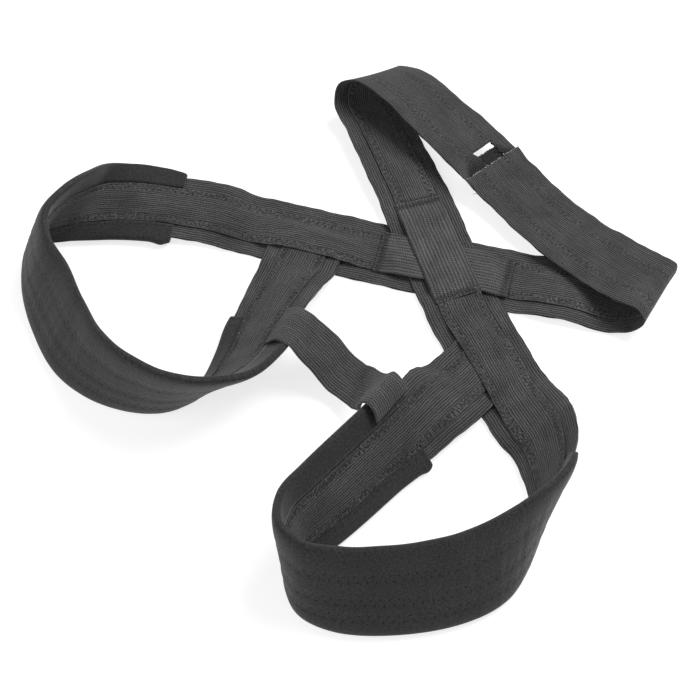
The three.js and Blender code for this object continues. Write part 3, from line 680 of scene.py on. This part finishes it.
# Columns: piece, CAD node, start and end along the belt, lift.
INNER_SPANS = [
    ("left_leg_inner_elastic", "left_leg_inner_band", 0, BEFORE_LEFT_PATCH, left_leg_lift),
    ("left_waist_inner_elastic", "left_waist_inner_band", AFTER_LEFT_PATCH, SLOT_TO - SLOT_GAP, None),
    ("right_waist_inner_elastic", "right_waist_inner_band", SLOT_TO, BEFORE_RIGHT_PATCH, None),
    ("right_leg_inner_elastic", "right_leg_inner_band", AFTER_RIGHT_PATCH, BELT_LENGTH, right_leg_lift),
]
inner_elastic = elastic_material("inner_elastic", 0.016, 0.12, 1.6, 0.35, 1.1, grain=0.55, seam=1.0)
for name, node, start, end, lift in INNER_SPANS:
    part = stretch(belt, start, end)
    inner = woven_solid(name, part, inner_sections(part), [inner_elastic], lift=lift, dark=shade_behind_slot)
    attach(inner, "root")
    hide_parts(node)
    rows = [zigzag_row(start + STITCH_MARGIN, end - STITCH_MARGIN, side * ZIGZAG_AT, INNER_TOP, lift)
            for side in (-1, 1)]
    stitches = stitch_mesh(name.replace("elastic", "stitches"), rows)
    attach(stitches, "root")

# Crossing patches: two short lengths of coarse-ribbed elastic where the waist straps cross, laced one
# through the other. Each is sewn down across its two ends only, and its sides stay free.
PATCH_WIDTH, PATCH_THICKNESS = 32.0, 1.2
PATCH_OFFSET = (BAND_THICKNESS + PATCH_THICKNESS) / 2 + LAYER_GAP
ribbed_elastic = elastic_material("ribbed_elastic", 0.035, 0.13, 2.3, 0.35, 1.6, weft=0.35, grain=0.6)
crossed_band = stretch(belt, RIGHT_PATCH[0], RIGHT_PATCH[1] + 2 * RAMP, COARSE_STEP)
crossed_patch = stretch(belt, *LEFT_PATCH, COARSE_STEP)
over_band = climb_over([(crossed_band, BAND_WIDTH, 0.0, BAND_THICKNESS)], PATCH_OFFSET, PATCH_THICKNESS)


def over_patch(points, along, v):
    """The lift that carries the right patch over the left one."""
    middle = surface(belt, along, v, np.full(np.shape(v), PATCH_OFFSET))
    near, _ = cover_at(middle, crossed_patch, PATCH_WIDTH, 0.0, BAND_THICKNESS)
    return near * (PATCH_THICKNESS + LAYER_GAP)


PATCH_STEP = 1.5
RIBBED_COLUMNS, RIBBED_WAVER = 30, 0.15
SEAM_INSET, SEAM_SINK, SEAM_SPREAD = 3.0, 0.5, 3.0
# Painted shade in the cross seams' grooves: how dark, its run, and the pitch of its drawn folds.
SEAM_SHADE, SEAM_SHADE_RUN, SHADE_PITCH = 0.65, 2.2, 2.6
SEAM_STITCHES, SEAM_SWING, SEAM_MARGIN = 22, 1.3, 1
SEAM_DEPTH = 0.2
FREE_RISE, FREE_RUN = 1.3, 8  # how far the free sides stand off, and over what length they rise
GATHER_PITCH, GATHER_RISE, GATHER_RUN = 3.6, 0.18, 5


def seam_groove_shade(span):
    """Painted shade: the cloth is painted darker in the groove that each cross seam draws in."""
    def dark(along, v, w):
        from_seam = np.minimum(along - span[0], span[1] - along) - SEAM_INSET
        drawn = 0.7 + 0.3 * np.sin(2 * math.pi * v / SHADE_PITCH + along)
        return SEAM_SHADE * np.exp(-((from_seam / SEAM_SHADE_RUN) ** 4)) * drawn
    return dark


for name, node, span, lift in (
    ("left_crossing_elastic", "left_crossing_patch", LEFT_PATCH, over_band),
    ("right_crossing_elastic", "right_crossing_patch", RIGHT_PATCH, over_patch),
):
    part = stretch(belt, *span, PATCH_STEP)
    sections = band_sections(part, PATCH_WIDTH, PATCH_THICKNESS, PATCH_OFFSET, RIBBED_COLUMNS, RIBBED_WAVER)
    from_end = np.minimum(part["along"] - span[0], span[1] - part["along"])[:, None]
    held_down = np.exp(-((from_end - SEAM_INSET) ** 2) / SEAM_SPREAD)
    top = np.clip((sections[..., 1] - PATCH_OFFSET) / (PATCH_THICKNESS / 2), 0, 1)
    free = np.clip((from_end - 2 * SEAM_INSET) / FREE_RUN, 0, 1)
    gather = np.sin(2 * math.pi * sections[..., 0] / GATHER_PITCH) * np.exp(-((from_end / GATHER_RUN) ** 2))
    sections[..., 1] += FREE_RISE * free - SEAM_SINK * top * held_down + GATHER_RISE * top * gather
    patch = woven_solid(name, part, sections, [ribbed_elastic], lift=lift, dark=seam_groove_shade(span))
    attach(patch, "root")
    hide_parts(node)
    seams = []
    for place in (span[0] + SEAM_INSET, span[1] - SEAM_INSET):
        v = np.linspace(-PATCH_WIDTH / 2 + SEAM_MARGIN, PATCH_WIDTH / 2 - SEAM_MARGIN, SEAM_STITCHES)
        along = place + SEAM_SWING * np.where(np.arange(SEAM_STITCHES) % 2, 1.0, -1.0)
        w = np.full(SEAM_STITCHES, PATCH_OFFSET + PATCH_THICKNESS / 2 - SEAM_DEPTH)
        seams.append(sewn_row(along, v, w, lift))
    stitches = stitch_mesh(name.replace("elastic", "stitches"), seams)
    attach(stitches, "root")

# Leg sleeves: smooth knitted nylon over a thin pad, wrapped round the outer face of each leg loop, folded
# over both edges onto the inner face, and quilted through with three zigzag rows.
SLEEVE_WIDTH = BAND_WIDTH + 2 * SLEEVE_OVERHANG
PAD_THICKNESS, FOLD_THICKNESS = 3.4, 1.0
QUILT_AT = [SLEEVE_WIDTH / 2 - share * SLEEVE_WIDTH for share in (0.77, 0.58, 0.3)]
QUILT_WIDTH, QUILT_PERIOD = 4.6, 5.2
QUILT_SINK, HOLE_SINK = 0.2, 0.45
QUILT_THREAD, QUILT_MARGIN = 0.18, 5
UPPER_PUFF = 1.6  # how much further the padding stands at the raised edge than at the lower one
HEM_THICKNESS, HEM_LENGTH = 1.3, 12.0
HEM_SEAM_AT, HEM_SEAM_WIDTH = 3.2, 0.8
END_DRAW, RIGHT_END_DRAW = 1.4, 3.0  # how far the hems draw a sleeve's ends in
LOBE_SAG, LOBE_RUN = 2.2, 4.5
LEAST_WALL = 0.6
FACE_ROUNDING, STITCH_ROUNDING = 8, 5
FOLD_COLUMNS = 7
SLEEVE_STEP = 1.0
SLEEVE_COLUMNS = 64
RIM = 3.2  # how far in from the edge the padding rounds over
FOLD_TOP = BAND_THICKNESS / 2 + LAYER_GAP + FOLD_THICKNESS
SLEEVE_WALL = -BAND_THICKNESS / 2 - LAYER_GAP


def zigzag_at(along):
    """Where a quilting row's thread is, from -1 to 1 of half its width."""
    return 4 * np.abs(np.mod(along / QUILT_PERIOD + 0.5, 1) - 0.5) - 1


def quilting(along, v):
    """How far the three zigzag rows sink the padded face."""
    sink = np.zeros(np.broadcast(along, v).shape)
    for middle in QUILT_AT:
        swing = zigzag_at(along)
        off_line = np.abs(v - middle - QUILT_WIDTH / 2 * swing)
        off_row = np.abs(v - middle)
        row = np.exp(-((off_row / (0.7 * QUILT_WIDTH)) ** 4))
        line = np.exp(-((off_line / 0.8) ** 2)) * (0.1 + 0.9 * np.abs(swing) ** 6) * (off_row < QUILT_WIDTH)
        sink = np.maximum(sink, QUILT_SINK * row + HOLE_SINK * line)
    return sink


def puckers(along, v):
    """Faint crosswise folds that the stitching draws up between the rows."""
    spread = waver(along + 0.15 * v, (10.4, 0.09, 0.5), (6.1, 0.06, 2.0), (27, 0.12, 1.1))
    return spread * np.clip(1.2 - np.abs(v) / (SLEEVE_WIDTH / 2), 0, 1)


def hem_line(along, span):
    """The stitched hem across each end, from 0 to 1."""
    from_end = np.minimum(along - span[0], span[1] - along)
    return np.exp(-(((from_end - HEM_SEAM_AT) / HEM_SEAM_WIDTH) ** 2))


def sleeve_sections(part, span, lobe_at, narrow):
    """The sleeve's outline at each station. lobe_at is where its lower edge sags out past the hem's end,
    narrow is how much its first end is drawn in."""
    tip, edge = INNER_WIDTH / 2 + 2 * LAYER_GAP, BAND_WIDTH / 2 + LAYER_GAP
    share = np.sin(np.linspace(-math.pi / 2, math.pi / 2, SLEEVE_COLUMNS))
    share = 0.5 * share + 0.5 * np.linspace(-1, 1, SLEEVE_COLUMNS)
    rim_turn = np.linspace(0, math.pi / 2, 8)[1:]
    rows = []
    for along in part["along"]:
        from_end = min(along - span[0], span[1] - along)
        full = math.sqrt(min(from_end / HEM_LENGTH, 1)) if from_end > 0 else 0
        thick = HEM_THICKNESS + (PAD_THICKNESS - HEM_THICKNESS) * full
        half = SLEEVE_WIDTH / 2 - (narrow if along < sum(span) / 2 else END_DRAW) * (1 - full)
        sag = LOBE_SAG * math.exp(-(((along - lobe_at) / LOBE_RUN) ** 2))
        puff = UPPER_PUFF * full
        v = share * half
        v = np.where(v < 0, v * (1 + sag / half), v * (1 + puff / half))
        shape = np.sqrt(1 - np.abs(share) ** FACE_ROUNDING)
        relief = quilting(along, v) * full + puckers(along, v) + 0.5 * hem_line(along, span)
        low = SLEEVE_WALL - shape * np.maximum(thick - relief, LEAST_WALL)
        inner_rim_v = RIM * (1 - np.cos(rim_turn)) * 0.8
        inner_rim_w = SLEEVE_WALL + (FOLD_TOP - SLEEVE_WALL) * np.sin(rim_turn)
        fold_start = half - inner_rim_v[-1]
        fold = np.linspace(fold_start, tip, FOLD_COLUMNS)[1:]
        upper_fold = np.linspace(fold_start + puff, tip, FOLD_COLUMNS)[1:]
        fold_w = FOLD_TOP - 0.3 * hem_line(along, span) + 0.5 * puckers(along, fold)
        lower_fold_w = FOLD_TOP - 0.3 * hem_line(along, span) + 0.5 * puckers(along, -fold)
        hidden = [(tip, FOLD_TOP - FOLD_THICKNESS), (edge, FOLD_TOP - FOLD_THICKNESS), (edge, SLEEVE_WALL),
                  (0, SLEEVE_WALL), (-edge, SLEEVE_WALL), (-edge, FOLD_TOP - FOLD_THICKNESS),
                  (-tip, FOLD_TOP - FOLD_THICKNESS)]
        rows.append(np.concatenate([
            np.stack([v, low], 1),
            np.stack([half + puff - inner_rim_v, inner_rim_w], 1),
            np.stack([upper_fold, fold_w], 1),
            hidden,
            np.stack([-fold[::-1], lower_fold_w[::-1]], 1),
            np.stack([(inner_rim_v - half)[::-1] - sag, inner_rim_w[::-1]], 1),
        ]))
    return np.array(rows)


# Columns: blotches per millimetre across the sleeve, and along it, and detail.
GRAIN_NOISE = (0.75, 0.65, 3.0)
PATCHY_NOISE = (0.07, 0.05, 3.0)
LINT_NOISE = (0.9, 0.7, 2.0)
LOOP_PITCH = 1.1
KNIT_CREST_AT = 0.9
KNIT_RELIEF, KNIT_ROUGHNESS, KNIT_SHEEN = 0.2, 0.85, 0.2


def knit_material(name, deep, light):
    """Smooth knitted nylon: fine columns of loops, soft uneven patches, specks of lint, and needle holes,
    dented and painted darker as shade.
    """
    material, node, v, along = woven_material(name)
    grain = cloth_noise(material, *GRAIN_NOISE)
    patchy = cloth_noise(material, *PATCHY_NOISE)
    lint = between(node, cloth_noise(material, *LINT_NOISE), 0.74, 0.8)
    loops = node("MULTIPLY_ADD", node("SINE", node("MULTIPLY", v, 2 * math.pi / LOOP_PITCH)), 0.5, 0.5)
    height = node("MULTIPLY_ADD", loops, 0.2, node("MULTIPLY_ADD", grain, 1.7, -0.45))
    shade = node("ADD", node("MULTIPLY_ADD", patchy, 0.5, 0.75), node("MULTIPLY", lint, 0.9))
    for middle in QUILT_AT:
        offset = node("SUBTRACT", v, middle)
        pull = zigzag_pull(node, offset, along, QUILT_WIDTH, QUILT_PERIOD, line=0.0)
        near = between(node, node("ABSOLUTE", offset), QUILT_WIDTH / 2 + 1.2, QUILT_WIDTH / 2 + 0.6)
        pull = node("MULTIPLY", pull, near)
        height = node("MULTIPLY_ADD", pull, -0.7, height)
        # Painted shade at the quilting's needle holes and along its thread.
        shade = node("MULTIPLY", shade, node("MULTIPLY_ADD", pull, -0.7, 1.0))
    colours = ((deep, GROOVE_AT), (light, KNIT_CREST_AT))
    cloth_shader(material, height, shade, colours, KNIT_RELIEF, KNIT_ROUGHNESS, KNIT_SHEEN)
    return material


sleeve_cloth = knit_material("sleeve_cloth", 0.017, 0.05)
sleeve_thread = spun_thread("sleeve_thread", (0.038, 0.038, 0.039), 0.7)
for name, node, span, lobe_at, narrow in (
    ("left_leg_sleeve", "left_leg_pad", LEFT_SLEEVE, LEFT_SLEEVE[1] - 6, END_DRAW),
    ("right_leg_sleeve", "right_leg_pad", RIGHT_SLEEVE, RIGHT_SLEEVE[1] - 3, RIGHT_END_DRAW),
):
    part = stretch(belt, *span, SLEEVE_STEP)
    sleeve = woven_solid(name, part, sleeve_sections(part, span, lobe_at, narrow), [sleeve_cloth])
    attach(sleeve, "root")
    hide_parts(node)
    rows = []
    first_turn = math.ceil((span[0] + QUILT_MARGIN) / QUILT_PERIOD * 2)
    last_turn = math.floor((span[1] - QUILT_MARGIN) / QUILT_PERIOD * 2)
    along = np.arange(first_turn, last_turn) * QUILT_PERIOD / 2
    for middle in QUILT_AT:
        across = middle + QUILT_WIDTH / 2 * zigzag_at(along)
        rounding = np.sqrt(1 - np.abs(across / (SLEEVE_WIDTH / 2)) ** STITCH_ROUNDING)
        depth = SLEEVE_WALL - rounding * (PAD_THICKNESS - quilting(along, across) - puckers(along, across))
        rows.append(sewn_row(along, across, depth + SEAM_DEPTH, face=-1))
    stitches = stitch_mesh(name + "_quilting", rows, QUILT_THREAD, sleeve_thread)
    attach(stitches, "root")

# Bridge strap: 33 mm coarse-ribbed elastic that joins the two leg loops, its left end sewn flat beside the
# inner band, its right end rolled over the other loop's edge and sewn down inside.
BRIDGE_WIDTH, BRIDGE_THICKNESS = 33.0, 1.3
SEWN_HEIGHT = FOLD_TOP + LAYER_GAP + BRIDGE_THICKNESS / 2
CLEAR_EDGE = SLEEVE_WIDTH / 2 + LAYER_GAP + BRIDGE_THICKNESS / 2
LEFT_BRIDGE_AT, RIGHT_BRIDGE_AT = 0.0497 * BELT_LENGTH, 0.945 * BELT_LENGTH
ROLL_RISE = 2.0
ROUTE_STEP, BRIDGE_STEP = 0.8, 1.0
LEFT_SEWN_AT = INNER_WIDTH / 2 + 2 * LAYER_GAP
RIGHT_SEWN_AT = SLEEVE_WIDTH / 2 - 5 * ROLL_RISE
RIGHT_SEWN_HEIGHT = SEWN_HEIGHT + 0.75 * ROLL_RISE
# Columns: x, y (shares of LAID_HALF), height (share of BRIDGE_WIDTH), direction across.
BRIDGE_ROWS = [
    (-0.122, -0.05, 0.78, -0.42, -0.9, 0.12),
    (-0.072, -0.075, 0.47, -0.42, -0.9, 0.03),
    (-0.03, -0.112, 0.27, -0.37, -0.93, 0.0),
    (0.018, -0.166, 0.36, -0.3, -0.95, 0.0),
    (0.045, -0.222, 0.74, -0.28, -0.96, 0.0),
]


def bridge_seat(along, v, w, turn):
    """A row of the bridge's route on the belt at v and w. turn says which way the strap's width runs."""
    before, after = surface(belt, np.array([along - BRIDGE_WIDTH / 2, along + BRIDGE_WIDTH / 2]),
                            np.array([v, v]), np.array([w, w]))
    return (*((before + after) / 2), *(unit(after - before) * turn))


bridge_rows = [
    bridge_seat(LEFT_BRIDGE_AT, LEFT_SEWN_AT, SEWN_HEIGHT, 1),
    bridge_seat(LEFT_BRIDGE_AT, SLEEVE_WIDTH / 2 - ROLL_RISE, SEWN_HEIGHT + ROLL_RISE / 2, 1),
    bridge_seat(LEFT_BRIDGE_AT, CLEAR_EDGE + 0.75 * ROLL_RISE, 0, 1),
    *[(x * LAID_HALF + MIDDLE_X, y * LAID_HALF + MIDDLE_Y, height * BRIDGE_WIDTH, *across)
      for x, y, height, *across in BRIDGE_ROWS],
    bridge_seat(RIGHT_BRIDGE_AT, CLEAR_EDGE + ROLL_RISE, -2 * ROLL_RISE, -1),
    bridge_seat(RIGHT_BRIDGE_AT, CLEAR_EDGE + ROLL_RISE, RIGHT_SEWN_HEIGHT, -1),
    bridge_seat(RIGHT_BRIDGE_AT, SLEEVE_WIDTH / 2 - 2 * ROLL_RISE, RIGHT_SEWN_HEIGHT + ROLL_RISE, -1),
    bridge_seat(RIGHT_BRIDGE_AT, RIGHT_SEWN_AT, RIGHT_SEWN_HEIGHT, -1),
]
bridge_path = lay_strap(bridge_rows, ROUTE_STEP)
bridge_length = bridge_path["along"][-1]
bridge_part = stretch(bridge_path, 0, bridge_length, BRIDGE_STEP)
bridge_sections = band_sections(
    bridge_part, BRIDGE_WIDTH, BRIDGE_THICKNESS, 0.0, RIBBED_COLUMNS, RIBBED_WAVER)
bridge_elastic = elastic_material("bridge_elastic", 0.018, 0.135, 1.9, 0.45, 1.4, weft=0.4, grain=0.4)
bridge = woven_solid("bridge_elastic_strap", bridge_part, bridge_sections, [bridge_elastic])
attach(bridge, "root")
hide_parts("bridge_strap")

# Joint: the cut end of the left wide band shows as a pale frayed line across the right one, with a few loose
# threads where the seams stop. The yarn ends are polyester, paler inside than the dyed face.
frayed_yarn = spun_thread("frayed_yarn", (0.38, 0.38, 0.38), 0.8)
CUT_YARNS, SLOT_YARNS = 100, 60
YARN_REACH, YARN_ASKEW, YARN_DROOP = 1.2, 1.0, 0.3
SLOT_YARN, LOOSE_YARN = 0.18, 0.16
chance = np.random.default_rng(7)


def yarn_ends(along, v, w):
    """Short yarn ends that stick out of a cut edge, ahead along the strap, each a little askew."""
    count = len(v)
    start = surface(belt, np.full(count, along), v, w)
    reach = chance.uniform(0.3, 1, count) * YARN_REACH
    end_v = v + chance.normal(0, YARN_ASKEW, count)
    end_w = w + chance.normal(0, YARN_DROOP, count)
    end = surface(belt, along + reach, end_v, end_w)
    return start, end, -along_strap(belt, "inward", np.full(count, along))


cut_v = chance.uniform(-BAND_WIDTH / 2, BAND_WIDTH / 2, CUT_YARNS)
cut_w = -ON_BAND - BAND_THICKNESS / 2 + chance.uniform(0, BAND_THICKNESS / 2, CUT_YARNS)
slot_v = np.linspace(-SLOT_LENGTH / 2, SLOT_LENGTH / 2, SLOT_YARNS) + SLOT_ASIDE
slot_w = np.full(SLOT_YARNS, INNER_OFFSET - INNER_THICKNESS / 2)
cut_ends = yarn_ends(JOINT_AT - 0.2, cut_v, cut_w)
slot_ends = yarn_ends(SLOT_TO - SLOT_GAP - 0.3, slot_v, slot_w)
edge_frays = stitch_mesh("frayed_edges", [cut_ends], SEAM_THREAD, frayed_yarn)
slot_frays = stitch_mesh("slot_frays", [slot_ends], SLOT_YARN)
for fray in (edge_frays, slot_frays):
    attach(fray, "root")


def loose_thread(along, v, w, lean, length, curl):
    """A loose thread from a place on the belt, bending as it goes. lean is its way in (along, v, w)."""
    steps = np.linspace(0, 1, 6)[:, None]
    direction = unit(np.array(lean, float))
    bend = np.array([-direction[1], direction[0], 0.3]) * curl
    path = np.array([along, v, w]) + steps * direction * length + steps**2 * bend * length
    points = surface(belt, path[:, 0], path[:, 1], path[:, 2])
    out = np.tile([0.0, 0.0, 1.0], (len(points), 1))
    return points[:-1], points[1:], out[:-1]


# Columns: along, v, w, lean, length, curl.
LOOSE_THREADS = [
    (JOINT_AT, -24.5, -2.4, (0.4, -1, -0.3), 4.0, 0.5),
    (JOINT_AT - 1, 24.5, -2.4, (0.8, 1, -0.2), 3.5, -0.5),
    (JOINT_AT - 11, -24.8, -0.6, (-0.3, -1, -0.2), 3.2, 0.6),
    (RIGHT_PATCH[1] - 2, -15.5, 2.0, (0.2, -1, 0.3), 4.0, -0.4),
    (LEFT_SLEEVE[1] - 1, -26.0, 2.2, (0.9, -0.5, 0.3), 2.5, 0.4),
    (RIGHT_SLEEVE[1], -24.0, 2.2, (1, -0.3, 0.2), 3.0, 0.5),
]
threads = stitch_mesh("loose_threads", [loose_thread(*row) for row in LOOSE_THREADS], LOOSE_YARN)
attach(threads, "root")

# Floor, light and camera: a pale studio floor under soft light, seen from the photograph's angle.
FLOOR_SIZE, FLOOR_DROP = 6, 0.0003  # in metres
FLOOR_TONE, FLOOR_GLOW = 0.5, 0.75  # it glows like a lit table, so shadows stay faint
STUDIO_GLOW = 0.25
bpy.ops.object.select_all(action="DESELECT")
bpy.ops.mesh.primitive_plane_add(size=FLOOR_SIZE, location=(0, 0, -FLOOR_DROP))
floor = bpy.context.object
floor.name = "floor"
floor_paint = bpy.data.materials.new("pale_floor")
floor_paint.use_nodes = True
floor_shader = floor_paint.node_tree.nodes["Principled BSDF"]
floor_shader.inputs["Base Color"].default_value = (FLOOR_TONE, FLOOR_TONE, FLOOR_TONE, 1)
floor_shader.inputs["Roughness"].default_value = 0.9
floor_shader.inputs["Emission Color"].default_value = (1, 1, 1, 1)
floor_shader.inputs["Emission Strength"].default_value = FLOOR_GLOW
floor.data.materials.append(floor_paint)

world = bpy.data.worlds.new("studio")
world.use_nodes = True
world.node_tree.nodes["Background"].inputs["Color"].default_value = (1, 1, 1, 1)
world.node_tree.nodes["Background"].inputs["Strength"].default_value = STUDIO_GLOW
bpy.context.scene.world = world
bpy.context.scene.view_settings.view_transform = "Standard"


def soft_light(name, place, size, power):
    """A square soft light at a place, turned to the belt."""
    light = bpy.data.lights.new(name, "AREA")
    light.energy = power
    light.size = size
    lamp = bpy.data.objects.new(name, light)
    lamp.location = place
    lamp.rotation_euler = (-Vector(place)).to_track_quat("-Z", "Y").to_euler()
    bpy.context.scene.collection.objects.link(lamp)


soft_light("key_light", (0.75, 0.55, 1.4), 0.9, 22)
soft_light("fill_light", (-1.1, -0.45, 1.0), 1.2, 6)

CAMERA_ELEVATION, CAMERA_DISTANCE = math.radians(56.15), 0.976
FOCAL_PIXELS, PHOTO_PIXELS, SENSOR_WIDTH = 1536, 700, 36
camera_data = bpy.data.cameras.new("camera")
camera_data.sensor_width = SENSOR_WIDTH
camera_data.lens = SENSOR_WIDTH * FOCAL_PIXELS / PHOTO_PIXELS
camera = bpy.data.objects.new("camera", camera_data)
camera.location = (
    MIDDLE_X * METRES,
    MIDDLE_Y * METRES - CAMERA_DISTANCE * math.cos(CAMERA_ELEVATION),
    CAMERA_DISTANCE * math.sin(CAMERA_ELEVATION),
)
camera.rotation_euler = (math.pi / 2 - CAMERA_ELEVATION, 0, 0)
bpy.context.scene.collection.objects.link(camera)
bpy.context.scene.camera = camera
